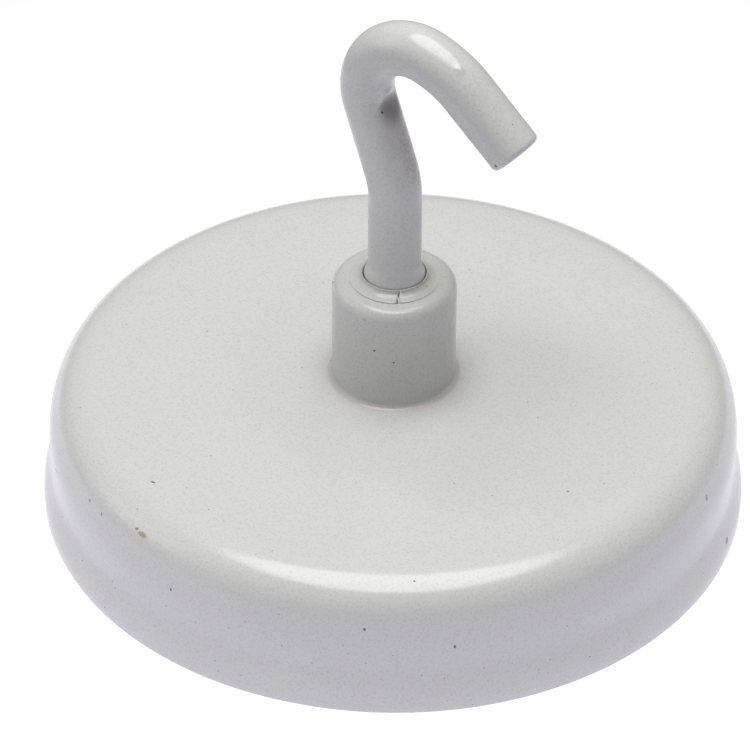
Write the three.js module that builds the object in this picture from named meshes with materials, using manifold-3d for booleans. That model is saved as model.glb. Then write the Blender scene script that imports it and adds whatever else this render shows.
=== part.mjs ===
// Pot magnet with a screw-in hook: a drawn steel cup holds a ferrite ring magnet, and a threaded boss riveted
// through its back takes a bent rod hook. Millimetres, +Z up. The origin is the centre of the working face,
// the pot's axis is Z, and the hook opens towards +X. Sizes of coated steel include the coating.

import * as THREE from 'three';
import { mergeVertices } from 'three/addons/utils/BufferGeometryUtils.js';
import Module from 'manifold-3d';

const wasm = await Module();
wasm.setup();

// ---------------------------------------------------------------- driving dimensions

const rimRadius = 23.6;          // outside of the cup at its open rim
const potHeight = 9;             // working face to the flat back
const rimFlare = 0.6;            // how far the rim stands out from the wall above it
const rimBand = 0.6;             // straight height of the rim, below the flare
const plainBand = 1.1;           // straight wall between the flare and the shoulder
const shoulderRadial = 3.9;      // drawn shoulder, measured along the radius
const shoulderAxial = 4.65;      // drawn shoulder, measured along the axis
const shoulderFullness = 2.75;   // 2 is a true ellipse, and more is squarer
const wallThickness = 2;         // drawn wall, above the flare
const backThickness = 2.2;       // flat back of the cup
const innerCorner = 1.6;         // inside corner radius of the cup
const rimEdge = 0.2;             // rounded edges of the rim

const magnetHoleRadius = 7;
const magnetRecess = 0.15;       // magnet's face above the plane of the rim
const magnetChamfer = 0.4;
const pottingGap = 0.9;          // space between the magnet and the wall, filled with resin
const bedThickness = 0.65;       // space between the magnet and the back, filled with resin
const resinSink = 0.2;           // resin face above the magnet's face

const bossRadius = 4.1;
const bossHeight = 7.7;          // above the cup's back
const bossEdge = 0.8;            // rounded top edge
const bossFillet = 0.7;          // pool of coating where the boss meets the back
const filletLip = 0.04;          // thickness of a pool of coating at its outer edge
const spigotWall = 1;            // wall of the boss's neck, which passes through the cup
const rivetSpread = 1.3;         // how far the riveted end stands out from the neck
const rivetThickness = 1;

const rodRadius = 1.78;
const shankLength = 6.5;         // straight shank above the boss
const leanRadius = 5.55;         // gentle bend away from the hook's mouth, at the rod's centre
const leanAngle = 19;            // degrees
const leanLength = 5;            // straight stretch between the two bends
const crookRadius = 3.55;        // tight bend over the top
const crookAngle = 124;
const easeRadius = 7.6;          // slacker end of the same bend
const easeAngle = 26.5;
const tipLength = 4.8;           // straight free end
const tipEdge = 0.35;            // rounded edge of the cut end

const threadPitch = 0.7;         // M4 coarse, right-handed
const threadRise = 0.21;         // rolled crests stand this far out of the rod
const threadDepth = 0.43;        // crest to root
const threadLength = 8.7;        // threaded end of the rod
const threadSunk = 0.5;          // plain shank below the boss's top
const threadChamfer = 0.3;       // on the rod's lower end

const collarWidth = 0.9;         // ring of coating round the foot of the shank
const collarHeight = 0.4;
const collarCrest = 0.15;        // width of its flat top, beside the shank
const tearWidth = 0.35;          // gap torn in the collar
const tearAzimuth = -48;         // degrees from the hook's mouth

const fitGap = 0.1;              // between parts that are pressed, glued or riveted together
const threadClearance = 0.08;    // radial clearance of the screw thread
const turnClearance = 0.07;      // inside and under the collar, which turns

const roundSides = 60;           // facets round the cup, its magnet and the resin
const smallSides = 20;           // facets round the boss, rod and thread
const rodSteps = 52;             // lengths along the bent rod

// ---------------------------------------------------------------- places worked out from them

const wallRadius = rimRadius - rimFlare;
const boreRadius = wallRadius - wallThickness;
const ceiling = potHeight - backThickness;
const magnetRadius = boreRadius - pottingGap;
const magnetTop = ceiling - bedThickness;
const threadCrest = rodRadius + threadRise;
const threadRoot = threadCrest - threadDepth;
const mouthRadius = threadCrest + 2 * threadClearance;
const spigotRadius = threadCrest + threadClearance + spigotWall;
const bossBase = potHeight + fitGap;
const bossTop = potHeight + bossHeight;
const rivetBottom = ceiling - fitGap - rivetThickness;
const threadTop = bossTop - threadSunk;

// ---------------------------------------------------------------- ways of making a solid

/** A closed three.js geometry as a solid that can be cut and joined. */
function solid(geometry) {
  const bare = geometry.clone();
  bare.deleteAttribute('normal');
  bare.deleteAttribute('uv');
  const merged = mergeVertices(bare, 1e-5);
  return new wasm.Manifold(new wasm.Mesh({
    numProp: 3,
    vertProperties: Float32Array.from(merged.attributes.position.array),
    triVerts: Uint32Array.from(merged.index.array),
  }));
}

/** A solid back as a three.js geometry. */
function geometryOf(manifold) {
  const mesh = manifold.getMesh();
  const geometry = new THREE.BufferGeometry();
  geometry.setAttribute('position', new THREE.BufferAttribute(mesh.vertProperties, 3));
  geometry.setIndex(new THREE.BufferAttribute(mesh.triVerts, 1));
  geometry.computeVertexNormals();
  return geometry;
}

const at = (radius, height) => new THREE.Vector2(radius, height);

/** Turns a profile round Z. It runs with the material on its left, and closes on itself or on the axis. */
function turned(profile, sides) {
  return new THREE.LatheGeometry(profile, sides).rotateX(Math.PI / 2);
}

/**
 * A quarter of an ellipse between two profile points, bulging towards the corner where their walls meet.
 * A fullness above 2 pushes it further into that corner.
 */
function rounded(from, corner, to, steps = 4, fullness = 2) {
  const centre = from.clone().add(to).sub(corner);
  const points = [];
  for (let i = 0; i <= steps; i++) {
    const angle = (i / steps) * (Math.PI / 2);
    points.push(centre.clone()
      .addScaledVector(from.clone().sub(centre), Math.max(0, Math.cos(angle)) ** (2 / fullness))
      .addScaledVector(to.clone().sub(centre), Math.sin(angle) ** (2 / fullness)));
  }
  return points;
}

/** A smooth step between two profile points, upright at both of them. */
function faded(from, to, steps = 4) {
  const points = [];
  for (let i = 0; i <= steps; i++) {
    const along = i / steps;
    const across = (1 - Math.cos(Math.PI * along)) / 2;
    points.push(at(from.x + (to.x - from.x) * across, from.y + (to.y - from.y) * along));
  }
  return points;
}

/** A ring with square corners. */
function ring(inner, outer, bottom, top, sides) {
  return turned([
    at(inner, bottom), at(outer, bottom), at(outer, top), at(inner, top), at(inner, bottom),
  ], sides);
}

/** A round bar between two heights, with an optional chamfer at its lower end. */
function bar(radius, bottom, top, chamfer = 0) {
  const foot = chamfer > 0 ? [at(radius - chamfer, bottom), at(radius, bottom + chamfer)] : [at(radius, bottom)];
  return solid(turned([at(0, bottom), ...foot, at(radius, top), at(0, top)], smallSides));
}

/** A right-handed screw that reaches past both heights, in step with every other screw of the same pitch. */
function screw(root, crest, bottom, top) {
  const profile = [[0, root], [1 / 4, root], [9 / 16, crest], [11 / 16, crest]]; // height in pitches, radius
  const perTurn = profile.length;
  const firstTurn = Math.floor(bottom / threadPitch) - 1;
  const rows = perTurn * (Math.ceil(top / threadPitch) + 1 - firstTurn) + 1;
  const vertex = (row, column) => row * smallSides + column;
  const positions = [];
  for (let row = 0; row < rows; row++) {
    const [height, radius] = profile[row % perTurn];
    for (let column = 0; column < smallSides; column++) {
      const turn = column / smallSides;
      positions.push(
        radius * Math.cos(2 * Math.PI * turn),
        radius * Math.sin(2 * Math.PI * turn),
        threadPitch * (firstTurn + Math.floor(row / perTurn) + height + turn),
      );
    }
  }
  const faces = [];
  const corner = (row, column) => (column < smallSides ? vertex(row, column) : vertex(row + perTurn, 0));
  for (let row = 0; row + 1 < rows; row++) {
    for (let column = 0; column < smallSides; column++) {
      if (column + 1 === smallSides && row + 1 + perTurn >= rows) continue;
      const [a, b] = [corner(row, column), corner(row, column + 1)];
      const [c, d] = [corner(row + 1, column + 1), corner(row + 1, column)];
      faces.push(a, b, c, a, c, d);
    }
  }
  // Each end is a fan from the axis to the spiral edge and the step where the spiral starts.
  const fan = (loop, height) => {
    const hub = positions.length / 3;
    positions.push(0, 0, height);
    loop.forEach((point, i) => faces.push(hub, loop[(i + 1) % loop.length], point));
  };
  const edge = (row) => Array.from({ length: smallSides }, (_, column) => vertex(row, column));
  const lowStep = Array.from({ length: perTurn }, (_, i) => vertex(perTurn - i, 0));
  const highStep = Array.from({ length: perTurn }, (_, i) => vertex(rows - 1 - perTurn + i, smallSides - 1));
  fan([...edge(0), ...lowStep], bottom - 2 * threadPitch);
  fan([...edge(rows - 1).reverse(), ...highStep], top + 2 * threadPitch);
  const geometry = new THREE.BufferGeometry();
  geometry.setAttribute('position', new THREE.Float32BufferAttribute(positions, 3));
  geometry.setIndex(faces);
  return solid(geometry);
}

// ---------------------------------------------------------------- the pieces

/** Drawn cup: flared rim, plain wall, deep shoulder, flat back with a hole for the boss. */
function potShell() {
  const shoulderStart = potHeight - shoulderAxial;
  const holeRadius = spigotRadius + fitGap;
  return turned([
    at(boreRadius, rimEdge),
    ...rounded(at(boreRadius, rimEdge), at(boreRadius, 0), at(boreRadius + rimEdge, 0), 2).slice(1),
    ...rounded(at(rimRadius - rimEdge, 0), at(rimRadius, 0), at(rimRadius, rimEdge), 3),
    ...faded(at(rimRadius, rimBand), at(wallRadius, shoulderStart - plainBand)),
    ...rounded(at(wallRadius, shoulderStart), at(wallRadius, potHeight),
      at(wallRadius - shoulderRadial, potHeight), 10, shoulderFullness),
    at(holeRadius, potHeight),
    at(holeRadius, ceiling),
    ...rounded(at(boreRadius - innerCorner, ceiling), at(boreRadius, ceiling),
      at(boreRadius, ceiling - innerCorner)),
    at(boreRadius, rimEdge),
  ], roundSides);
}

/** Sintered ring with ground faces and small chamfers. */
function ringMagnet() {
  const c = magnetChamfer;
  const low = magnetRecess;
  return turned([
    at(magnetHoleRadius + c, low), at(magnetRadius - c, low), at(magnetRadius, low + c),
    at(magnetRadius, magnetTop - c), at(magnetRadius - c, magnetTop),
    at(magnetHoleRadius + c, magnetTop), at(magnetHoleRadius, magnetTop - c),
    at(magnetHoleRadius, low + c), at(magnetHoleRadius + c, low),
  ], roundSides);
}

/** Resin between the magnet's back and the cup, kept clear of the cup's inside corner. */
function resinBed() {
  return ring(magnetHoleRadius + magnetChamfer, boreRadius - innerCorner - fitGap,
    magnetTop + fitGap, ceiling - fitGap, roundSides);
}

/** Resin poured round the magnet, up to where the cup's inside corner begins. */
function resinRing() {
  return ring(magnetRadius + fitGap, boreRadius - fitGap,
    magnetRecess + resinSink, ceiling - innerCorner - fitGap, roundSides);
}

/** Turned bush with a through thread, a neck in the cup's hole, and its inner end riveted over. */
function boss() {
  const rivetRadius = spigotRadius + rivetSpread;
  const body = solid(turned([
    at(0, rivetBottom),
    at(spigotRadius, rivetBottom),
    ...rounded(at(spigotRadius, rivetBottom), at(rivetRadius, rivetBottom),
      at(rivetRadius, ceiling - fitGap), 3).slice(1),
    at(spigotRadius, ceiling - fitGap),
    at(spigotRadius, bossBase),
    at(bossRadius + bossFillet, bossBase),
    ...rounded(at(bossRadius + bossFillet, bossBase + filletLip), at(bossRadius, bossBase + filletLip),
      at(bossRadius, bossBase + bossFillet)),
    ...rounded(at(bossRadius, bossTop - bossEdge), at(bossRadius, bossTop), at(bossRadius - bossEdge, bossTop)),
    at(0, bossTop),
  ], smallSides));
  const below = rivetBottom - threadPitch;
  const above = bossTop + threadPitch;
  const thread = screw(threadRoot + threadClearance, threadCrest + threadClearance, below, above);
  const mouth = bar(mouthRadius, threadTop - threadClearance, above);
  return geometryOf(body.subtract(thread).subtract(mouth));
}

/** Centre line of the bent rod, from inside the boss to its free end, in the XZ plane. */
function rodPath() {
  const path = new THREE.CurvePath();
  const place = new THREE.Vector3(0, 0, threadTop);
  let heading = 0; // radians from upright, towards +X
  const run = (length) => {
    const end = place.clone().add(new THREE.Vector3(Math.sin(heading), 0, Math.cos(heading)).multiplyScalar(length));
    path.add(new THREE.LineCurve3(place.clone(), end));
    place.copy(end);
  };
  const bend = (radius, degrees, steps) => {
    const turn = THREE.MathUtils.degToRad(degrees) / steps;
    for (let i = 0; i < steps; i++) {
      heading += turn / 2;
      run(2 * radius * Math.sin(Math.abs(turn) / 2));
      heading += turn / 2;
    }
  };
  run(bossTop + shankLength - threadTop);
  bend(leanRadius, -leanAngle, 4);
  run(leanLength);
  bend(crookRadius, crookAngle, 16);
  bend(easeRadius, easeAngle, 4);
  run(tipLength - tipEdge);
  return { path, end: place, heading };
}

/** Bent rod with a rolled thread at its foot and a rounded edge on its cut end. */
function hook() {
  const { path, end, heading } = rodPath();
  const section = new THREE.Shape(
    Array.from({ length: smallSides }, (_, i) => {
      const angle = (2 * Math.PI * i) / smallSides;
      return new THREE.Vector2(rodRadius * Math.cos(angle), rodRadius * Math.sin(angle));
    }),
  );
  const rod = solid(new THREE.ExtrudeGeometry(section, { steps: rodSteps, extrudePath: path }));
  const tip = solid(
    turned([
      at(0, -rodRadius), at(rodRadius, -rodRadius), at(rodRadius, 0),
      ...rounded(at(rodRadius, 0), at(rodRadius, tipEdge), at(rodRadius - tipEdge, tipEdge), 3).slice(1),
      at(0, tipEdge),
    ], smallSides).rotateY(heading).translate(end.x, end.y, end.z),
  );
  const threadBottom = threadTop - threadLength;
  const thread = screw(threadRoot, threadCrest, threadBottom, threadTop)
    .intersect(bar(threadCrest + threadClearance, threadBottom, threadTop, threadChamfer + threadClearance));
  const core = bar(threadRoot, threadTop - threadPitch, threadTop + threadPitch);
  return geometryOf(rod.add(tip).add(thread).add(core));
}

/** Low ring of coating that slopes away from the shank, torn through at one place. */
function coatingCollar() {
  const inner = threadCrest + turnClearance;
  const outer = inner + collarWidth;
  const base = bossTop + turnClearance;
  const crown = base + collarHeight;
  const crest = inner + collarCrest;
  const whole = solid(turned([
    at(inner, base), at(outer, base),
    ...rounded(at(outer, base + filletLip), at(crest, base + filletLip), at(crest, crown)),
    at(inner, crown), at(inner, base),
  ], smallSides));
  const tear = new THREE.BoxGeometry(2 * outer, tearWidth, 4 * collarHeight)
    .translate(outer, 0, base)
    .rotateZ(THREE.MathUtils.degToRad(tearAzimuth));
  return geometryOf(whole.subtract(solid(tear)));
}

// ---------------------------------------------------------------- finishes and assembly

const coating = { color: 0xd6d8d5, roughness: 0.35, metalness: 0 };
const ferrite = { color: 0x3c3d40, roughness: 0.6, metalness: 0.1 };
const resin = { color: 0x4a4436, roughness: 0.3, metalness: 0 };

function piece(name, geometry, finish) {
  const mesh = new THREE.Mesh(geometry, new THREE.MeshStandardMaterial(finish));
  mesh.name = name;
  return mesh;
}

const pot = new THREE.Group();
pot.add(
  piece('pot_shell', potShell(), coating),
  piece('ring_magnet', ringMagnet(), ferrite),
  piece('resin_bed', resinBed(), resin),
  piece('resin_ring', resinRing(), resin),
  piece('boss', boss(), coating),
);

const turning = new THREE.Group();
turning.add(
  piece('coating_collar', coatingCollar(), coating),
  piece('hook', hook(), coating),
);

const hookMagnet = new THREE.Group();
hookMagnet.add(pot, turning);

export default hookMagnet;
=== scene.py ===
import math

import bpy
from mathutils import Matrix, Vector


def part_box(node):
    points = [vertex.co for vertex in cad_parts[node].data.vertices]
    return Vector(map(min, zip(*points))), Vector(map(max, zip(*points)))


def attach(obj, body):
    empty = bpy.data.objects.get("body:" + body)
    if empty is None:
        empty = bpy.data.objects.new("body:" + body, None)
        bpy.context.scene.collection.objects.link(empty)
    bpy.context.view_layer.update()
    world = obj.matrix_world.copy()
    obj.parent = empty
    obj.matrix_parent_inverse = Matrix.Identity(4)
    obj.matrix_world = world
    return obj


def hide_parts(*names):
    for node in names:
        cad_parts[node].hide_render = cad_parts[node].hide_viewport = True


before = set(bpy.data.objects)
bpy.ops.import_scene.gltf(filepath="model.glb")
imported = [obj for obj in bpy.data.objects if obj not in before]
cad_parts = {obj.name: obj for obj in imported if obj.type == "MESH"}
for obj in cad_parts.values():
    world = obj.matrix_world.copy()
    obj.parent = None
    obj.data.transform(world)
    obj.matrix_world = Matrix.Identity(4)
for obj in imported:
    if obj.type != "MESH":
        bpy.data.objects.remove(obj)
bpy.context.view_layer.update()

# ---------------------------------------------------------------- the drawn cup
# A mild steel cup drawn from sheet: flat back, deep squarish shoulder, and a wall that flares to the rim.
# It is dipped and stoved off-white, and then its rim is ground bare so that it lies flat on steel.
MM = 0.001
cup_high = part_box("pot_shell")[1]
rim_radius = cup_high.x
pot_height = cup_high.z
rim_flare = 0.6 * MM
rim_band = 0.6 * MM
rim_edge = 0.2 * MM
wall_thickness = 2.0 * MM
back_thickness = 2.2 * MM
wall_radius = rim_radius - rim_flare
bore_radius = wall_radius - wall_thickness
ceiling = pot_height - back_thickness
shoulder_radial = 3.9 * MM
shoulder_axial = 4.65 * MM
shoulder_fullness = 2.75
plain_band = 1.1 * MM
inner_corner = 1.6 * MM
hole_radius = 3.17 * MM


def rounded(start, corner, end, steps, fullness=2.0):
    """Quarter of an ellipse from start to end, bulging to the corner. More fullness makes it squarer."""
    start = Vector(start)
    corner = Vector(corner)
    end = Vector(end)
    centre = start + end - corner
    points = []
    for i in range(steps + 1):
        angle = math.radians(90 * i / steps)
        out = max(0.0, math.cos(angle)) ** (2 / fullness)
        across = math.sin(angle) ** (2 / fullness)
        points.append(tuple(centre + (start - centre) * out + (end - centre) * across))
    return points


def straight(start, end, steps):
    """Evenly spaced points after start, up to end."""
    return [tuple(Vector(start).lerp(Vector(end), i / steps)) for i in range(1, steps + 1)]


def take(piece):
    """Makes this the one selected and active piece."""
    bpy.ops.object.select_all(action="DESELECT")
    piece.select_set(True)
    bpy.context.view_layer.objects.active = piece


def unpick(piece, kind="VERT"):
    """Clears the selection inside a piece, ready for points or faces to be picked."""
    take(piece)
    bpy.ops.object.mode_set(mode="EDIT")
    bpy.ops.mesh.select_mode(type=kind)
    bpy.ops.mesh.select_all(action="DESELECT")
    bpy.ops.object.mode_set(mode="OBJECT")


def close(piece):
    """Merges doubled points, closes any open loop and faces everything outward."""
    take(piece)
    bpy.ops.object.mode_set(mode="EDIT")
    bpy.ops.mesh.select_all(action="SELECT")
    bpy.ops.mesh.remove_doubles(threshold=1e-7)
    bpy.ops.mesh.fill_holes(sides=0)
    bpy.ops.mesh.select_all(action="SELECT")
    bpy.ops.mesh.normals_make_consistent(inside=False)
    bpy.ops.object.mode_set(mode="OBJECT")


def turn(name, outline, sides, bored=True):
    """A turned piece: a circle pulled through the outline's radii and heights. A solid one is capped."""
    bpy.ops.object.select_all(action="DESELECT")
    radius, height = outline[0]
    bpy.ops.mesh.primitive_circle_add(vertices=sides, radius=radius, location=(0, 0, height))
    piece = bpy.context.object
    piece.name = piece.data.name = name
    bpy.ops.object.transform_apply(location=True, rotation=True, scale=True)
    bpy.ops.object.mode_set(mode="EDIT")
    bpy.ops.mesh.select_all(action="SELECT")
    for next_radius, next_height in outline[1:] + (outline[:1] if bored else []):
        rise = next_height - height
        factor = next_radius / radius
        bpy.ops.mesh.extrude_region_move(TRANSFORM_OT_translate={"value": (0, 0, rise)})
        bpy.ops.transform.resize(value=(factor, factor, 1), center_override=(0, 0, 0))
        radius, height = next_radius, next_height
    bpy.ops.object.mode_set(mode="OBJECT")
    close(piece)
    return piece


def smooth(piece, degrees=40):
    """Soft shading everywhere but on crisp edges."""
    take(piece)
    bpy.ops.object.shade_smooth_by_angle(angle=math.radians(degrees))


def worn(piece, size, depth):
    """Slow waviness of hand-finished metal and dipped coating, never proud of the true size."""
    ripple = bpy.data.textures.new(piece.name + "_ripple", "CLOUDS")
    ripple.noise_scale = size
    ripple.noise_depth = 1
    displace = piece.modifiers.new("worn", "DISPLACE")
    displace.texture = ripple
    displace.texture_coords = "LOCAL"
    displace.strength = depth
    displace.mid_level = 1.0
    take(piece)
    bpy.ops.object.modifier_apply(modifier="worn")


def polar(degrees, radius, height):
    """A place on a turned piece, in millimetres and degrees from the hook's mouth."""
    angle = math.radians(degrees)
    return (radius * MM * math.cos(angle), radius * MM * math.sin(angle), height * MM)


class Finish:
    """A material whose colour, roughness and height are built up in layers."""

    def __init__(self, name, colour, roughness, metallic=0.0, specular=0.5):
        self.material = bpy.data.materials.new(name)
        self.material.use_nodes = True
        self.nodes = self.material.node_tree.nodes
        self.links = self.material.node_tree.links
        self.shader = self.nodes["Principled BSDF"]
        self.shader.inputs["Base Color"].default_value = (*colour, 1)
        self.shader.inputs["Roughness"].default_value = roughness
        self.shader.inputs["Metallic"].default_value = metallic
        self.shader.inputs["Specular IOR Level"].default_value = specular
        self.place = self.nodes.new("ShaderNodeTexCoord").outputs["Object"]
        self.colour = None
        self.base = (*colour, 1)

    def height(self):
        """The height above the working face."""
        axes = self.nodes.new("ShaderNodeSeparateXYZ")
        self.links.new(self.place, axes.inputs["Vector"])
        return axes.outputs["Z"]

    def stretched(self, x, y, z):
        """Object coordinates scaled by axis, for grain that runs one way."""
        mapping = self.nodes.new("ShaderNodeMapping")
        mapping.inputs["Scale"].default_value = (x, y, z)
        self.links.new(self.place, mapping.inputs["Vector"])
        return mapping.outputs["Vector"]

    def noise(self, scale, detail=2.0, vector=None, rough=0.5):
        """Cloudy noise. The scale is in features a metre."""
        texture = self.nodes.new("ShaderNodeTexNoise")
        texture.inputs["Scale"].default_value = scale
        texture.inputs["Detail"].default_value = detail
        texture.inputs["Roughness"].default_value = rough
        self.links.new(vector or self.place, texture.inputs["Vector"])
        return texture.outputs["Fac"]

    def spread(self, value, low, high, to_low=0.0, to_high=1.0):
        """A value's range stretched to another, and clamped."""
        ramp = self.nodes.new("ShaderNodeMapRange")
        ramp.interpolation_type = "SMOOTHSTEP"
        ramp.inputs["From Min"].default_value = low
        ramp.inputs["From Max"].default_value = high
        ramp.inputs["To Min"].default_value = to_low
        ramp.inputs["To Max"].default_value = to_high
        self.links.new(value, ramp.inputs["Value"])
        return ramp.outputs["Result"]

    def maths(self, operation, first, second):
        """A sum, difference or product of two values, each a number or a socket."""
        node = self.nodes.new("ShaderNodeMath")
        node.operation = operation
        for socket, value in zip(node.inputs, (first, second)):
            if isinstance(value, (int, float)):
                socket.default_value = value
            else:
                self.links.new(value, socket)
        return node.outputs["Value"]

    def tint(self, mask, colour):
        """Lays a colour over the colour so far, where the mask is 1."""
        mix = self.nodes.new("ShaderNodeMix")
        mix.data_type = "RGBA"
        mix.inputs[6].default_value = self.base
        mix.inputs[7].default_value = (*colour, 1)
        self.links.new(mask, mix.inputs[0])
        if self.colour:
            self.links.new(self.colour, mix.inputs[6])
        self.colour = mix.outputs[2]
        self.links.new(self.colour, self.shader.inputs["Base Color"])

    def roughen(self, value, low, high):
        """Roughness between low and high, following a noise value."""
        self.links.new(self.spread(value, 0.3, 0.7, low, high), self.shader.inputs["Roughness"])

    def relief(self, value, depth):
        """Raises the surface by up to the depth where the value is 1, over any relief so far."""
        bump = self.nodes.new("ShaderNodeBump")
        bump.inputs["Distance"].default_value = depth
        self.links.new(value, bump.inputs["Height"])
        before = self.shader.inputs["Normal"]
        if before.is_linked:
            self.links.new(before.links[0].from_socket, bump.inputs["Normal"])
        self.links.new(bump.outputs["Normal"], before)

    def near(self, place, size, wobble=0.35, soft=0.2):
        """1 close to a place and 0 away from it, with a ragged edge. The size is one value or three."""
        if isinstance(size, (int, float)):
            size = (size, size, size)
        offset = self.nodes.new("ShaderNodeMapping")
        offset.vector_type = "TEXTURE"
        offset.inputs["Location"].default_value = place
        offset.inputs["Scale"].default_value = size
        self.links.new(self.place, offset.inputs["Vector"])
        length = self.nodes.new("ShaderNodeVectorMath")
        length.operation = "LENGTH"
        self.links.new(offset.outputs["Vector"], length.inputs[0])
        ragged = self.maths("MULTIPLY", self.maths("SUBTRACT", self.noise(9000, 1), 0.5), wobble * 4)
        distance = self.maths("ADD", length.outputs["Value"], ragged)
        return self.spread(distance, 0.95 - soft, 0.95 + soft, 1.0, 0.0)

    def pinholes(self, scale, size):
        """Scattered dots of about the given radius."""
        cells = self.nodes.new("ShaderNodeTexVoronoi")
        cells.inputs["Scale"].default_value = scale
        self.links.new(self.place, cells.inputs["Vector"])
        return self.spread(cells.outputs["Distance"], size * scale * 0.6, size * scale * 1.2, 1.0, 0.0)


pinhole_brown = (0.16, 0.13, 0.12)


def enamel(name, marks=(), pinhole_size=0.055 * MM):
    """Stoved off-white coating: mottled tone, sandy grain, fine pinholes, orange peel, and its marks."""
    coat = Finish(name, (0.803, 0.805, 0.803), 0.19)
    coat.tint(coat.spread(coat.noise(90, 1), 0.20, 0.80, 0.0, 0.6), (0.785, 0.785, 0.790))
    coat.tint(coat.spread(coat.noise(6500, 2), 0.46, 0.70, 0.0, 0.6), (0.67, 0.67, 0.69))
    coat.tint(coat.spread(coat.noise(5200, 3), 0.60, 0.74, 0.0, 0.35), (0.62, 0.61, 0.62))
    dots = coat.pinholes(720, pinhole_size)
    some = coat.spread(coat.noise(330, 1), 0.42, 0.60, 0.18, 0.85)
    coat.tint(coat.maths("MULTIPLY", dots, some), pinhole_brown)
    for place, size, colour in marks:
        coat.tint(coat.near(place, size), colour)
    coat.relief(coat.noise(620, 1), 0.006 * MM)
    coat.relief(coat.noise(5200, 2), 0.0022 * MM)
    return coat


def bare_steel(name, grain):
    """Ground steel: fine scratches one way, and a faint brown bloom."""
    steel = Finish(name, (0.50, 0.49, 0.47), 0.34, metallic=1.0)
    scratches = steel.noise(1500, 4, steel.stretched(*grain), 0.65)
    steel.tint(steel.spread(scratches, 0.45, 0.75, 0.0, 0.7), (0.30, 0.29, 0.28))
    steel.tint(steel.spread(steel.noise(420, 3), 0.58, 0.72, 0.0, 0.6), (0.22, 0.13, 0.08))
    steel.roughen(scratches, 0.24, 0.52)
    steel.relief(scratches, 0.010 * MM)
    return steel


flare_top = pot_height - shoulder_axial - plain_band
flare_steps = 12
flare = [(rim_radius - rim_flare * (1 - math.cos(math.pi * i / flare_steps)) / 2,
          rim_band + (flare_top - rim_band) * i / flare_steps) for i in range(flare_steps + 1)]
shoulder_start = (wall_radius, pot_height - shoulder_axial)
cup_outline = (
    rounded((bore_radius, rim_edge), (bore_radius, 0), (bore_radius + rim_edge, 0), 4)
    + straight((bore_radius + rim_edge, 0), (rim_radius - rim_edge, 0), 3)
    + rounded((rim_radius - rim_edge, 0), (rim_radius, 0), (rim_radius, rim_edge), 5)[1:]
    + flare
    + rounded(shoulder_start, (wall_radius, pot_height), (wall_radius - shoulder_radial, pot_height), 34,
              shoulder_fullness)
    + straight((wall_radius - shoulder_radial, pot_height), (hole_radius, pot_height), 16)
    + [(hole_radius, ceiling)]
    + straight((hole_radius, ceiling), (bore_radius - inner_corner, ceiling), 6)
    + rounded((bore_radius - inner_corner, ceiling), (bore_radius, ceiling),
              (bore_radius, ceiling - inner_corner), 6)[1:]
    + straight((bore_radius, ceiling - inner_corner), (bore_radius, rim_edge), 4)[:-1]
)
cup = turn("drawn_cup", cup_outline, 240)
worn(cup, 13 * MM, 0.05 * MM)
smooth(cup)

chip_blue = (0.12, 0.12, 0.17)
stain_brown = (0.50, 0.42, 0.33)
cup_marks = [
    (polar(-131, 23.0, 5.3), (0.16 * MM, 0.30 * MM, 0.12 * MM), chip_blue),
    (polar(23, 23.0, 5.3), (0.16 * MM, 0.60 * MM, 0.10 * MM), chip_blue),
    (polar(13, 23.5, 1.4), (0.16 * MM, 0.34 * MM, 0.22 * MM), (0.34, 0.33, 0.37)),
    (polar(6, 22.7, 6.9), (0.14 * MM, 0.16 * MM, 0.30 * MM), (0.42, 0.41, 0.44)),
    (polar(-116, 22.6, 7.2), (0.10 * MM, 0.12 * MM, 0.12 * MM), (0.36, 0.35, 0.38)),
    (polar(-112, 22.6, 7.2), (0.10 * MM, 0.10 * MM, 0.16 * MM), (0.36, 0.35, 0.38)),
    (polar(-102, 22.2, 7.85), (0.42 * MM, 0.22 * MM, 0.16 * MM), stain_brown),
    (polar(-103.6, 22.2, 7.95), (0.16 * MM, 0.14 * MM, 0.10 * MM), (0.36, 0.31, 0.27)),
    (polar(-61, 22.85, 6.37), (0.09 * MM, 0.09 * MM, 0.12 * MM), chip_blue),
    (polar(-47, 23.0, 4.9), (0.10 * MM, 0.10 * MM, 0.14 * MM), chip_blue),
    (polar(-94, 23.0, 5.6), (0.09 * MM, 0.09 * MM, 0.14 * MM), chip_blue),
    (polar(-53, 20.97, 8.77), (0.10 * MM, 0.08 * MM, 0.08 * MM), pinhole_brown),
    (polar(-56, 23.0, 3.7), (0.13 * MM, 0.13 * MM, 0.95 * MM), (0.72, 0.72, 0.79)),
    (polar(-61, 4.4, 9.0), 0.10 * MM, pinhole_brown),
    (polar(-109, 19.3, 9.0), (0.16 * MM, 0.07 * MM, 0.1 * MM), pinhole_brown),
    (polar(-15, 16.65, 9.0), 0.08 * MM, pinhole_brown),
]
cup_coat = enamel("cup_coating", cup_marks)
low_down = cup_coat.spread(cup_coat.height(), 5.0 * MM, 8.6 * MM, 0.85, 0.0)
cup_coat.tint(cup_coat.maths("MULTIPLY", cup_coat.pinholes(1000, 0.05 * MM), low_down), pinhole_brown)
rim_steel = bare_steel("ground_rim", (1, 30, 1))
cup.data.materials.append(cup_coat.material)
cup.data.materials.append(rim_steel.material)
for face in cup.data.polygons:
    middle = face.center
    inside = math.hypot(middle.x, middle.y) < bore_radius + rim_edge and middle.z < ceiling + 0.1 * MM
    if inside or face.normal.z < -0.9 and middle.z < rim_edge:
        face.material_index = 1
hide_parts("pot_shell")
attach(cup, "pot")


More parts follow.
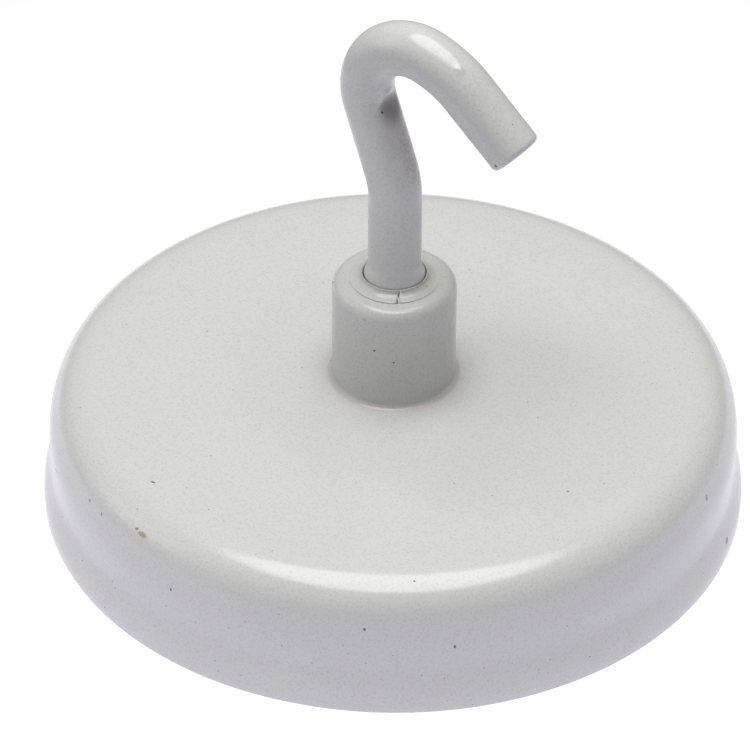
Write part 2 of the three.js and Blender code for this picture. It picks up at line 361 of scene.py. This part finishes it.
# ---------------------------------------------------------------- the threaded boss
# A turned steel bush with a through thread. Its neck passes through the cup and is riveted over inside.
# It is coated with the cup, so that the coating pools round its foot in a shallow swelling.
boss_low, boss_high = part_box("boss")
boss_top = boss_high.z
boss_radius = 4.1 * MM
boss_edge = 0.8 * MM
pool_corner = 0.34 * MM
pool_lip = 0.02 * MM
pool_slope = [(1.9, 0.17), (1.5, 0.085), (1.15, 0.045), (0.85, 0.018), (0.6, 0.004)]
neck_gap = 0.1 * MM
rivet_gap = 0.05 * MM
rivet_spread = 1.3 * MM
bore_corner = 0.25 * MM
neck_radius = hole_radius - neck_gap
rivet_radius = neck_radius + rivet_spread
rivet_top = ceiling - rivet_gap
under_pool = pot_height - 0.03 * MM
rivet_bottom = boss_low.z
thread_pitch = 0.7 * MM
thread_crest = 1.99 * MM
thread_root = 1.56 * MM
thread_gap = 0.08 * MM
bore_wall = thread_crest + thread_gap
mouth_radius = thread_crest + 2 * thread_gap
mouth_depth = 0.58 * MM
foot = pot_height + pool_lip
boss_outline = (
    rounded((bore_wall + bore_corner, rivet_bottom), (bore_wall, rivet_bottom),
            (bore_wall, rivet_bottom + bore_corner), 3)[::-1]
    + rounded((neck_radius, rivet_bottom), (rivet_radius, rivet_bottom), (rivet_radius, rivet_top), 8)
    + [(neck_radius, rivet_top), (neck_radius, under_pool)]
    + [(boss_radius + out * MM, foot - drop * MM) for out, drop in pool_slope]
    + rounded((boss_radius + pool_corner + 0.06 * MM, foot), (boss_radius, foot),
              (boss_radius, foot + pool_corner), 10)
    + straight((boss_radius, foot + pool_corner), (boss_radius, boss_top - boss_edge), 8)
    + rounded((boss_radius, boss_top - boss_edge), (boss_radius, boss_top),
              (boss_radius - boss_edge, boss_top), 12, 2.1)[1:]
    + straight((boss_radius - boss_edge, boss_top), (mouth_radius, boss_top), 3)
    + [(mouth_radius, boss_top - mouth_depth), (bore_wall, boss_top - mouth_depth)]
)


def ridge(name, foot_radius, crest_radius, foot_width, crest_width, phase, bottom, top):
    """A screw thread's ridge: whole turns of a tapered section, kept between bottom and top."""
    bpy.ops.object.select_all(action="DESELECT")
    start = thread_pitch * (math.ceil((bottom + foot_width / 2) / thread_pitch - phase) + phase)
    turns = math.floor((top - foot_width / 2 - start) / thread_pitch)
    middle = (foot_radius + crest_radius) / 2
    bpy.ops.mesh.primitive_plane_add(size=1, rotation=(math.radians(90), 0, 0), location=(middle, 0, start))
    piece = bpy.context.object
    piece.name = piece.data.name = name
    piece.scale = (abs(crest_radius - foot_radius), foot_width, 1)
    bpy.ops.object.transform_apply(location=True, rotation=True, scale=True)
    outward = 1 if crest_radius > foot_radius else -1
    for vertex in piece.data.vertices:
        vertex.select = (vertex.co.x - middle) * outward > 0
    for edge in piece.data.edges:
        edge.select = all(piece.data.vertices[i].select for i in edge.vertices)
    for face in piece.data.polygons:
        face.select = False
    bpy.ops.object.mode_set(mode="EDIT")
    narrow = crest_width / foot_width
    bpy.ops.transform.resize(value=(1, 1, narrow), center_override=(crest_radius, 0, start))
    bpy.ops.object.mode_set(mode="OBJECT")
    screw = piece.modifiers.new("screw", "SCREW")
    screw.axis = "Z"
    screw.screw_offset = thread_pitch
    screw.iterations = turns
    screw.steps = screw.render_steps = 64
    screw.use_smooth_shade = True
    bpy.ops.object.modifier_apply(modifier="screw")
    close(piece)
    return piece


def join_to(main, extra):
    """Makes the extra mesh part of the main piece."""
    take(main)
    extra.select_set(True)
    bpy.ops.object.join()


boss = turn("threaded_boss", boss_outline, 128)
worn(boss, 4 * MM, 0.03 * MM)
inner_thread = ridge("inner_thread", bore_wall + 0.03 * MM, thread_root + thread_gap, thread_pitch * 0.875,
                     thread_pitch * 0.25, 0.125, rivet_bottom + 0.2 * MM, boss_top - mouth_depth)
join_to(boss, inner_thread)
smooth(boss, 35)
boss_marks = [
    (polar(-146, 4.0, 16.2), (0.10 * MM, 0.10 * MM, 0.12 * MM), chip_blue),
    (polar(-85, 4.0, 15.9), (0.22 * MM, 0.10 * MM, 0.08 * MM), chip_blue),
    (polar(-75, 4.1, 13.6), 0.08 * MM, pinhole_brown),
    (polar(-57, 4.1, 12.8), 0.07 * MM, pinhole_brown),
    (polar(180, 2.9, 16.7), 0.09 * MM, pinhole_brown),
]
boss_coat = enamel("boss_coating", boss_marks)
below_wall = boss_coat.spread(boss_coat.height(), foot + 0.01 * MM, foot + 0.22 * MM, 0.4, 0.0)
above_pool = boss_coat.spread(boss_coat.height(), foot - 0.03 * MM, foot + 0.015 * MM)
boss_coat.tint(boss_coat.maths("MULTIPLY", below_wall, above_pool), (0.60, 0.53, 0.50))
boss_steel = bare_steel("turned_boss_steel", (1, 1, 12))
boss.data.materials.append(boss_coat.material)
boss.data.materials.append(boss_steel.material)
for face in boss.data.polygons:
    middle = face.center
    radius = math.hypot(middle.x, middle.y)
    below_cup = middle.z < pot_height - 0.2 * MM
    in_bore = radius < mouth_radius + 0.01 * MM and middle.z < boss_top - mouth_depth - 0.01 * MM
    if below_cup or in_bore:
        face.material_index = 1
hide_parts("boss")
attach(boss, "pot")


# ---------------------------------------------------------------- the ring magnet
# A pressed and sintered ferrite ring, ground flat on both faces. The brittle edges have lost small chips.
# It sits on resin in the cup, set in a hair from the plane of the rim.
magnet_low, magnet_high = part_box("ring_magnet")
magnet_radius = magnet_high.x
magnet_hole = 7.0 * MM
chamfer = 0.4 * MM
low_face = magnet_low.z
high_face = magnet_high.z
magnet_outline = (
    straight((magnet_hole, low_face + chamfer), (magnet_hole + chamfer, low_face), 2)
    + straight((magnet_hole + chamfer, low_face), (magnet_radius - chamfer, low_face), 10)
    + straight((magnet_radius - chamfer, low_face), (magnet_radius, low_face + chamfer), 2)
    + straight((magnet_radius, low_face + chamfer), (magnet_radius, high_face - chamfer), 5)
    + [(magnet_radius - chamfer, high_face), (magnet_hole + chamfer, high_face)]
    + [(magnet_hole, high_face - chamfer), (magnet_hole, low_face + chamfer)]
)
magnet = turn("ferrite_ring", magnet_outline, 180)
chips = [(14, 7.25, 0.9, 0.5), (97, 7.15, 0.6, 0.35), (211, 7.2, 1.1, 0.45), (303, 7.15, 0.5, 0.4),
         (48, 20.0, 1.0, 0.4), (160, 20.05, 0.7, 0.35), (262, 19.95, 1.3, 0.4), (331, 20.0, 0.6, 0.3)]
for number, (degrees, radius, width, depth) in enumerate(chips):
    bpy.ops.object.select_all(action="DESELECT")
    bpy.ops.mesh.primitive_ico_sphere_add(subdivisions=3, radius=1, location=polar(degrees, radius, 0.2))
    cutter = bpy.context.object
    cutter.scale = (depth * MM, width * MM, 0.32 * MM)
    cutter.rotation_euler = (0, 0, math.radians(degrees))
    bpy.ops.object.transform_apply(location=True, rotation=True, scale=True)
    ragged = bpy.data.textures.new("chip_%d" % number, "CLOUDS")
    ragged.noise_scale = 0.35 * MM
    rough_out = cutter.modifiers.new("ragged", "DISPLACE")
    rough_out.texture = ragged
    rough_out.texture_coords = "LOCAL"
    rough_out.strength = 0.22 * MM
    bpy.ops.object.modifier_apply(modifier="ragged")
    chipped = magnet.modifiers.new("chip", "BOOLEAN")
    chipped.operation = "DIFFERENCE"
    chipped.object = cutter
    chipped.solver = "EXACT"
    bpy.context.view_layer.objects.active = magnet
    bpy.ops.object.modifier_apply(modifier="chip")
    bpy.data.objects.remove(cutter, do_unlink=True)
close(magnet)
smooth(magnet, 24)
ferrite = Finish("sintered_ferrite", (0.060, 0.060, 0.066), 0.5)
grind = ferrite.noise(900, 5, ferrite.stretched(1, 26, 1), 0.6)
ferrite.tint(ferrite.spread(grind, 0.42, 0.72), (0.115, 0.115, 0.122))
ferrite.tint(ferrite.spread(ferrite.noise(3800, 3), 0.60, 0.72, 0.0, 0.8), (0.020, 0.020, 0.024))
ferrite.tint(ferrite.spread(ferrite.noise(160, 2), 0.50, 0.75, 0.0, 0.35), (0.075, 0.062, 0.052))
ferrite.roughen(grind, 0.36, 0.66)
ferrite.relief(grind, 0.012 * MM)
ferrite.relief(ferrite.noise(5200, 3), 0.006 * MM)
magnet.data.materials.append(ferrite.material)
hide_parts("ring_magnet")
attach(magnet, "pot")


# ---------------------------------------------------------------- the resin
# Two-part epoxy: a thin bed squeezed out under the magnet, and a ring poured round it that wets both walls.
# It sets to a dark amber, with a few bubbles.
bed_low, bed_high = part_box("resin_bed")
ring_low, ring_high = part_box("resin_ring")
bed_edge = (bed_high.z - bed_low.z) / 2
bed_inner = magnet_hole + chamfer
squeeze_out = 0.15 * MM
bed_front = bed_inner - squeeze_out
bed_middle = bed_low.z + bed_edge
bed_outer = bed_high.x
resin_gap = 0.04 * MM
resin_inner = magnet_radius + resin_gap
resin_outer = bore_radius - resin_gap
resin_middle = (resin_inner + resin_outer) / 2
resin_dip = 0.28 * MM
dip_lean = 0.02 * MM
dip_top = ring_low.z + resin_dip


def epoxy(name):
    """Cured epoxy: dark amber, glossy, faintly wavy, with pale bubbles."""
    cured = Finish(name, (0.085, 0.052, 0.022), 0.16, specular=0.5)
    cured.tint(cured.spread(cured.noise(260, 3), 0.40, 0.70), (0.045, 0.026, 0.012))
    bubbles = cured.pinholes(900, 0.16 * MM)
    cured.tint(cured.maths("MULTIPLY", bubbles, 0.7), (0.24, 0.18, 0.11))
    cured.roughen(cured.noise(500, 2), 0.10, 0.30)
    cured.relief(bubbles, -0.05 * MM)
    cured.relief(cured.noise(900, 2), 0.03 * MM)
    return cured


ring_outline = (
    rounded((resin_inner, ring_low.z), (resin_inner + dip_lean, dip_top), (resin_middle, dip_top), 5)
    + rounded((resin_middle, dip_top), (resin_outer - dip_lean, dip_top), (resin_outer, ring_low.z), 5)[1:]
    + straight((resin_outer, ring_low.z), (resin_outer, ring_high.z), 4)
    + straight((resin_outer, ring_high.z), (resin_inner, ring_high.z), 2)
    + straight((resin_inner, ring_high.z), (resin_inner, ring_low.z), 4)[:-1]
)
resin_ring = turn("poured_resin_ring", ring_outline, 180)
bed_outline = (
    rounded((bed_inner + bed_edge, bed_low.z), (bed_front, bed_low.z), (bed_front, bed_middle), 5)
    + rounded((bed_front, bed_middle), (bed_front, bed_high.z), (bed_inner + bed_edge, bed_high.z), 5)[1:]
    + straight((bed_inner + bed_edge, bed_high.z), (bed_outer, bed_high.z), 3)
    + straight((bed_outer, bed_high.z), (bed_outer, bed_low.z), 2)
    + straight((bed_outer, bed_low.z), (bed_inner + bed_edge, bed_low.z), 3)[:-1]
)
resin_bed = turn("squeezed_resin_bed", bed_outline, 144)
for piece, node in ((resin_ring, "resin_ring"), (resin_bed, "resin_bed")):
    worn(piece, 1.6 * MM, 0.05 * MM)
    smooth(piece, 50)
    piece.data.materials.append(epoxy(node + "_epoxy").material)
    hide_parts(node)
    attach(piece, "pot")


# ---------------------------------------------------------------- the bent hook
# Steel rod, bent cold: straight shank, slight lean back, a tight bend over the top, and a straight free end.
# It is coated after bending. The coating stands out in a lip where it tore free of the boss's collar.
rod_radius = 1.765 * MM
straight_top = 23.2 * MM
rod_start = boss_top - 0.5 * MM
lean_radius = 5.55 * MM
lean_angle = 19
lean_length = 5.0 * MM
crook_radius = 3.55 * MM
crook_angle = 124
ease_radius = 7.6 * MM
ease_angle = 26.5
tip_length = 4.8 * MM
tip_edge = 0.42 * MM
tip_crown = 0.015 * MM
rod_sides = 56
lip_top = 1.5 * MM
lip = [0.16, 0.18, 0.19, 0.20, 0.21, 0.22, 0.24, 0.26, 0.275, 0.275, 0.26, 0.22, 0.17, 0.13, 0.10, 0.08]
lip_steps = len(lip) - 1


class Bender:
    """The open end of a rod: where it is, which way it points, and the bends it is given in the XZ plane."""

    def __init__(self, place):
        self.place = Vector(place)
        self.heading = 0.0

    def ahead(self):
        """The direction in which the rod points."""
        return Vector((math.sin(self.heading), 0, math.cos(self.heading)))

    def pull(self, length, steps):
        """Straight on, in equal steps."""
        for _ in range(steps):
            step = tuple(self.ahead() * (length / steps))
            bpy.ops.mesh.extrude_region_move(TRANSFORM_OT_translate={"value": step})
        self.place += self.ahead() * length

    def bend(self, radius, degrees, steps):
        """Towards +X where degrees is positive."""
        side = math.copysign(1, degrees)
        centre = self.place + Vector((math.cos(self.heading), 0, -math.sin(self.heading))) * side * radius
        angle = math.radians(abs(degrees))
        bpy.ops.mesh.spin(steps=steps, angle=angle, center=tuple(centre), axis=(0, -side, 0))
        self.place = centre + Matrix.Rotation(angle * side, 3, "Y") @ (self.place - centre)
        self.heading += angle * side


bpy.ops.object.select_all(action="DESELECT")
bpy.ops.mesh.primitive_circle_add(vertices=rod_sides, radius=rod_radius, location=(0, 0, rod_start))
hook = bpy.context.object
hook.name = hook.data.name = "bent_hook"
bpy.ops.object.transform_apply(location=True, rotation=True, scale=True)
bpy.ops.object.mode_set(mode="EDIT")
bpy.ops.mesh.select_all(action="SELECT")
rod = Bender((0, 0, rod_start))
rod.pull(lip_top, lip_steps)
rod.pull(straight_top - rod_start - lip_top, 22)
rod.bend(lean_radius, -lean_angle, 12)
rod.pull(lean_length, 18)
rod.bend(crook_radius, crook_angle, 52)
rod.bend(ease_radius, ease_angle, 18)
rod.pull(tip_length - tip_edge, 16)
edge_steps = 6
for i in range(1, edge_steps + 1):
    before, now = (math.radians(90 * k / edge_steps) for k in (i - 1, i))
    rod.pull(tip_edge * (math.sin(now) - math.sin(before)), 1)
    inset_now = rod_radius - tip_edge * (1 - math.cos(now))
    inset_before = rod_radius - tip_edge * (1 - math.cos(before))
    shrink = inset_now / inset_before
    bpy.ops.transform.resize(value=(shrink, shrink, shrink), center_override=tuple(rod.place))
for rounds in (0.6, 0.25):
    rod.pull(tip_crown, 1)
    bpy.ops.transform.resize(value=(rounds, rounds, rounds), center_override=tuple(rod.place))
bpy.ops.object.mode_set(mode="OBJECT")
close(hook)


def press(piece, place, move, size):
    """Pushes the surface next to a place, fading out over size."""
    unpick(piece)
    away = [(vertex.co - Vector(place)).length for vertex in piece.data.vertices]
    piece.data.vertices[away.index(min(away))].select = True
    bpy.ops.object.mode_set(mode="EDIT")
    bpy.ops.transform.translate(value=move, use_proportional_edit=True, proportional_edit_falloff="SMOOTH",
                                proportional_size=size, use_proportional_connected=True)
    bpy.ops.object.mode_set(mode="OBJECT")


press(hook, (-0.21 * MM, -0.92 * MM, 32.1 * MM), (-0.16 * MM, 0.10 * MM, 0.14 * MM), 0.9 * MM)
press(hook, (-0.35 * MM, -0.3 * MM, 31.0 * MM), (0.16 * MM, -0.16 * MM, -0.04 * MM), 0.6 * MM)
press(hook, (-0.1 * MM, -0.4 * MM, 30.0 * MM), (-0.34 * MM, 0.10 * MM, 0.0), 1.1 * MM)
press(hook, (5.19 * MM, -0.71 * MM, 34.85 * MM), (0.07 * MM, -0.07 * MM, 0.09 * MM), 0.42 * MM)
for step, thick in enumerate(lip):
    level = rod_start + lip_top * step / lip_steps
    unpick(hook)
    for vertex in hook.data.vertices:
        vertex.select = abs(vertex.co.z - level) < lip_top / lip_steps / 2
    bpy.ops.object.mode_set(mode="EDIT")
    wider = (rod_radius + thick * MM) / rod_radius
    bpy.ops.transform.resize(value=(wider, wider, 1), center_override=(0, 0, level))
    bpy.ops.object.mode_set(mode="OBJECT")
worn(hook, 5.5 * MM, 0.06 * MM)
smooth(hook, 50)

pink_brown = (0.46, 0.37, 0.38)
hook_marks = [
    ((5.0 * MM, -0.80 * MM, 34.9 * MM), 0.04 * MM, (0.30, 0.29, 0.30)),
    ((8.44 * MM, -1.7 * MM, 29.5 * MM), (0.10 * MM, 0.2 * MM, 0.10 * MM), (0.16, 0.15, 0.14)),
]
hook_coat = enamel("hook_coating", hook_marks, 0.045 * MM)
# Painted shade: inside the crook, past the crease line, the coating is tinted grey in place of the shadow
# that the bend casts there.
fold_facing = (0.515, 0.494, -0.698)
fold_start = -21.84 * MM
fold_end = -21.68 * MM
across_fold = hook_coat.nodes.new("ShaderNodeVectorMath")
across_fold.operation = "DOT_PRODUCT"
across_fold.inputs[1].default_value = fold_facing
hook_coat.links.new(hook_coat.place, across_fold.inputs[0])
under_fold = hook_coat.spread(across_fold.outputs["Value"], fold_start, fold_end)
crook_shade_patch = hook_coat.near((0.0, -0.25 * MM, 29.9 * MM), (1.0 * MM, 1.1 * MM, 1.25 * MM), 0.06, 0.45)
painted_crook_shade = hook_coat.maths("MULTIPLY", crook_shade_patch, under_fold)
hook_coat.tint(hook_coat.maths("MULTIPLY", painted_crook_shade, 0.66), (0.36, 0.34, 0.36))
fold_pinholes = [
    ((-0.35 * MM, -0.62 * MM, 29.86 * MM), 0.15 * MM),
    ((-0.42 * MM, -0.85 * MM, 29.7 * MM), 0.10 * MM),
]
for place, size in fold_pinholes:
    hook_coat.tint(hook_coat.near(place, size), (0.02, 0.02, 0.025))
# Painted shade: a fainter grey darkening on the shank just below the crook, standing in for the shadow under
# the bend.
shade_under_crook = hook_coat.near((0.2 * MM, -0.6 * MM, 28.2 * MM), (0.9 * MM, 0.8 * MM, 1.8 * MM), 0.05, 0.6)
hook_coat.tint(hook_coat.maths("MULTIPLY", shade_under_crook, 0.30), (0.52, 0.50, 0.53))
rough_strip = hook_coat.near((1.0 * MM, 0.25 * MM, 26.6 * MM), (0.8 * MM, 0.7 * MM, 3.6 * MM), 0.3, 0.5)
sandy = hook_coat.noise(4200, 4, rough=0.8)
gritty = hook_coat.maths("MULTIPLY", rough_strip, hook_coat.spread(sandy, 0.40, 0.62, 0.25, 1.0))
hook_coat.tint(hook_coat.maths("MULTIPLY", gritty, 0.6), pink_brown)
hook_coat.relief(hook_coat.maths("MULTIPLY", rough_strip, sandy), 0.05 * MM)
hook.data.materials.append(hook_coat.material)
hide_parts("hook")
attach(hook, "hook")


# ---------------------------------------------------------------- the rolled thread
# The foot of the hook's rod, rolled with an M4 thread before the hook is coated. It screws into the boss, and
# is left as bare steel.
thread_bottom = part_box("hook")[0].z
thread_top = rod_start + 0.1 * MM
lead_in = 0.25 * MM
core_outline = [
    (thread_root - lead_in, thread_bottom), (thread_root, thread_bottom + lead_in), (thread_root, thread_top)]
thread_core = turn("rolled_thread", core_outline, 64, bored=False)
outer_thread = ridge("outer_thread", thread_root - 0.04 * MM, thread_crest, thread_pitch * 0.78,
                     thread_pitch * 0.125, 0.625, thread_bottom + 0.15 * MM, thread_top)
join_to(thread_core, outer_thread)
smooth(thread_core, 35)
thread_core.data.materials.append(bare_steel("rolled_steel", (1, 1, 8)).material)
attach(thread_core, "hook")


# ---------------------------------------------------------------- the torn collar of coating
# The coating bridged from the boss to the shank. It tore when the hook was turned, and a thin ring of it is
# left on the boss, split by one narrow tear.
collar_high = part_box("coating_collar")[1]
collar_outer = collar_high.x
collar_inner = thread_crest + 0.07 * MM
collar_base = boss_top + 0.012 * MM
collar_crown = collar_high.z
crest_width = 0.12 * MM
crest_inner = collar_inner + crest_width / 2
crest_outer = collar_inner + crest_width
feather_top = collar_base + 0.015 * MM
crown_edge = collar_crown - 0.05 * MM
crown_inner_edge = collar_crown - 0.08 * MM
collar_outline = (
    [(collar_inner, collar_base), (collar_outer, collar_base)]
    + rounded((collar_outer, feather_top), (crest_outer, feather_top), (crest_outer, crown_edge), 9)
    + rounded((crest_outer, crown_edge), (crest_outer, collar_crown), (crest_inner, collar_crown), 3)[1:]
    + rounded((crest_inner, collar_crown), (collar_inner, collar_crown),
              (collar_inner, crown_inner_edge), 3)[1:]
)
collar = turn("torn_collar", collar_outline, 160)
worn(collar, 1.3 * MM, 0.05 * MM)
tear_angle = -48
unpick(collar, "FACE")
for face in collar.data.polygons:
    radius = math.hypot(face.center.x, face.center.y)
    turned = math.degrees(math.atan2(face.center.y, face.center.x)) - tear_angle
    reach = (radius - collar_inner) / (collar_outer - collar_inner)
    face.select = -1.6 - 6 * reach < turned < 1.4 + 2 * math.sin(9 * reach)
bpy.ops.object.mode_set(mode="EDIT")
bpy.ops.mesh.delete(type="FACE")
bpy.ops.mesh.select_mode(type="VERT")
bpy.ops.object.mode_set(mode="OBJECT")
close(collar)
smooth(collar, 50)
collar.data.materials.append(enamel("collar_coating").material)
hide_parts("coating_collar")
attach(collar, "collar")


# ---------------------------------------------------------------- the studio
# A table that glows white near the object and is clear from below, a wide soft light overhead, a weak one on
# the left, and an almost dark room.
view_turn = math.radians(33.6)
view_tilt = math.radians(37.57)
view_roll = 0.0036
view_distance = 9.883 * rim_radius
right = Vector((math.cos(view_turn), math.sin(view_turn), 0))
back = Vector((math.sin(view_turn) * math.cos(view_tilt), -math.cos(view_turn) * math.cos(view_tilt),
               math.sin(view_tilt)))
up = back.cross(right)
aim = right * (-0.0526 * rim_radius) + up * (0.2901 * rim_radius)
rolled_right = right * math.cos(view_roll) + up * math.sin(view_roll)
rolled_up = up * math.cos(view_roll) - right * math.sin(view_roll)
camera_data = bpy.data.cameras.new("camera")
camera_data.sensor_width = 36
camera_data.lens = 164.8
camera_data.clip_start = 0.01
camera_data.clip_end = 20
camera = bpy.data.objects.new("camera", camera_data)
bpy.context.scene.collection.objects.link(camera)
camera.matrix_world = Matrix.Translation(aim + back * view_distance) @ Matrix(
    (rolled_right, rolled_up, back)).transposed().to_4x4()
bpy.context.scene.camera = camera
bpy.context.scene.view_settings.view_transform = "Standard"

bpy.ops.mesh.primitive_plane_add(size=6, location=(0, 0, -0.02 * MM))
table = bpy.context.object
table.name = "table"
paper = Finish("table_paper", (0.01, 0.01, 0.01), 1.0, specular=0.0)
from_middle = paper.nodes.new("ShaderNodeVectorMath")
from_middle.operation = "LENGTH"
paper.links.new(paper.place, from_middle.inputs[0])
glow = paper.spread(from_middle.outputs["Value"], 60 * MM, 98 * MM, 1.10, 0.28)
paper.links.new(glow, paper.shader.inputs["Emission Strength"])
paper.shader.inputs["Emission Color"].default_value = (1.0, 0.977, 1.07, 1)
clear = paper.nodes.new("ShaderNodeBsdfTransparent")
from_below = paper.nodes.new("ShaderNodeMixShader")
side_seen = paper.nodes.new("ShaderNodeNewGeometry")
paper.links.new(side_seen.outputs["Backfacing"], from_below.inputs[0])
paper.links.new(paper.shader.outputs["BSDF"], from_below.inputs[1])
paper.links.new(clear.outputs["BSDF"], from_below.inputs[2])
paper.links.new(from_below.outputs["Shader"], paper.nodes["Material Output"].inputs["Surface"])
table.data.materials.append(paper.material)

bpy.ops.object.light_add(type="AREA", location=(0, 0, 500 * MM))
overhead = bpy.context.object
overhead.data.shape = "DISK"
overhead.data.size = 440 * MM
overhead.data.energy = 2.5
overhead.data.color = (1.0, 0.998, 0.95)

side_place = right * (-400 * MM) + Vector((0, 0, 220 * MM))
bpy.ops.object.light_add(type="AREA", location=tuple(side_place))
side = bpy.context.object
side.data.shape = "DISK"
side.data.size = 250 * MM
side.data.energy = 0.165
side.rotation_euler = (-side_place).to_track_quat("-Z", "Y").to_euler()

world = bpy.data.worlds.new("room")
bpy.context.scene.world = world
world.use_nodes = True
world.node_tree.nodes["Background"].inputs["Color"].default_value = (0.003, 0.003, 0.005, 1)
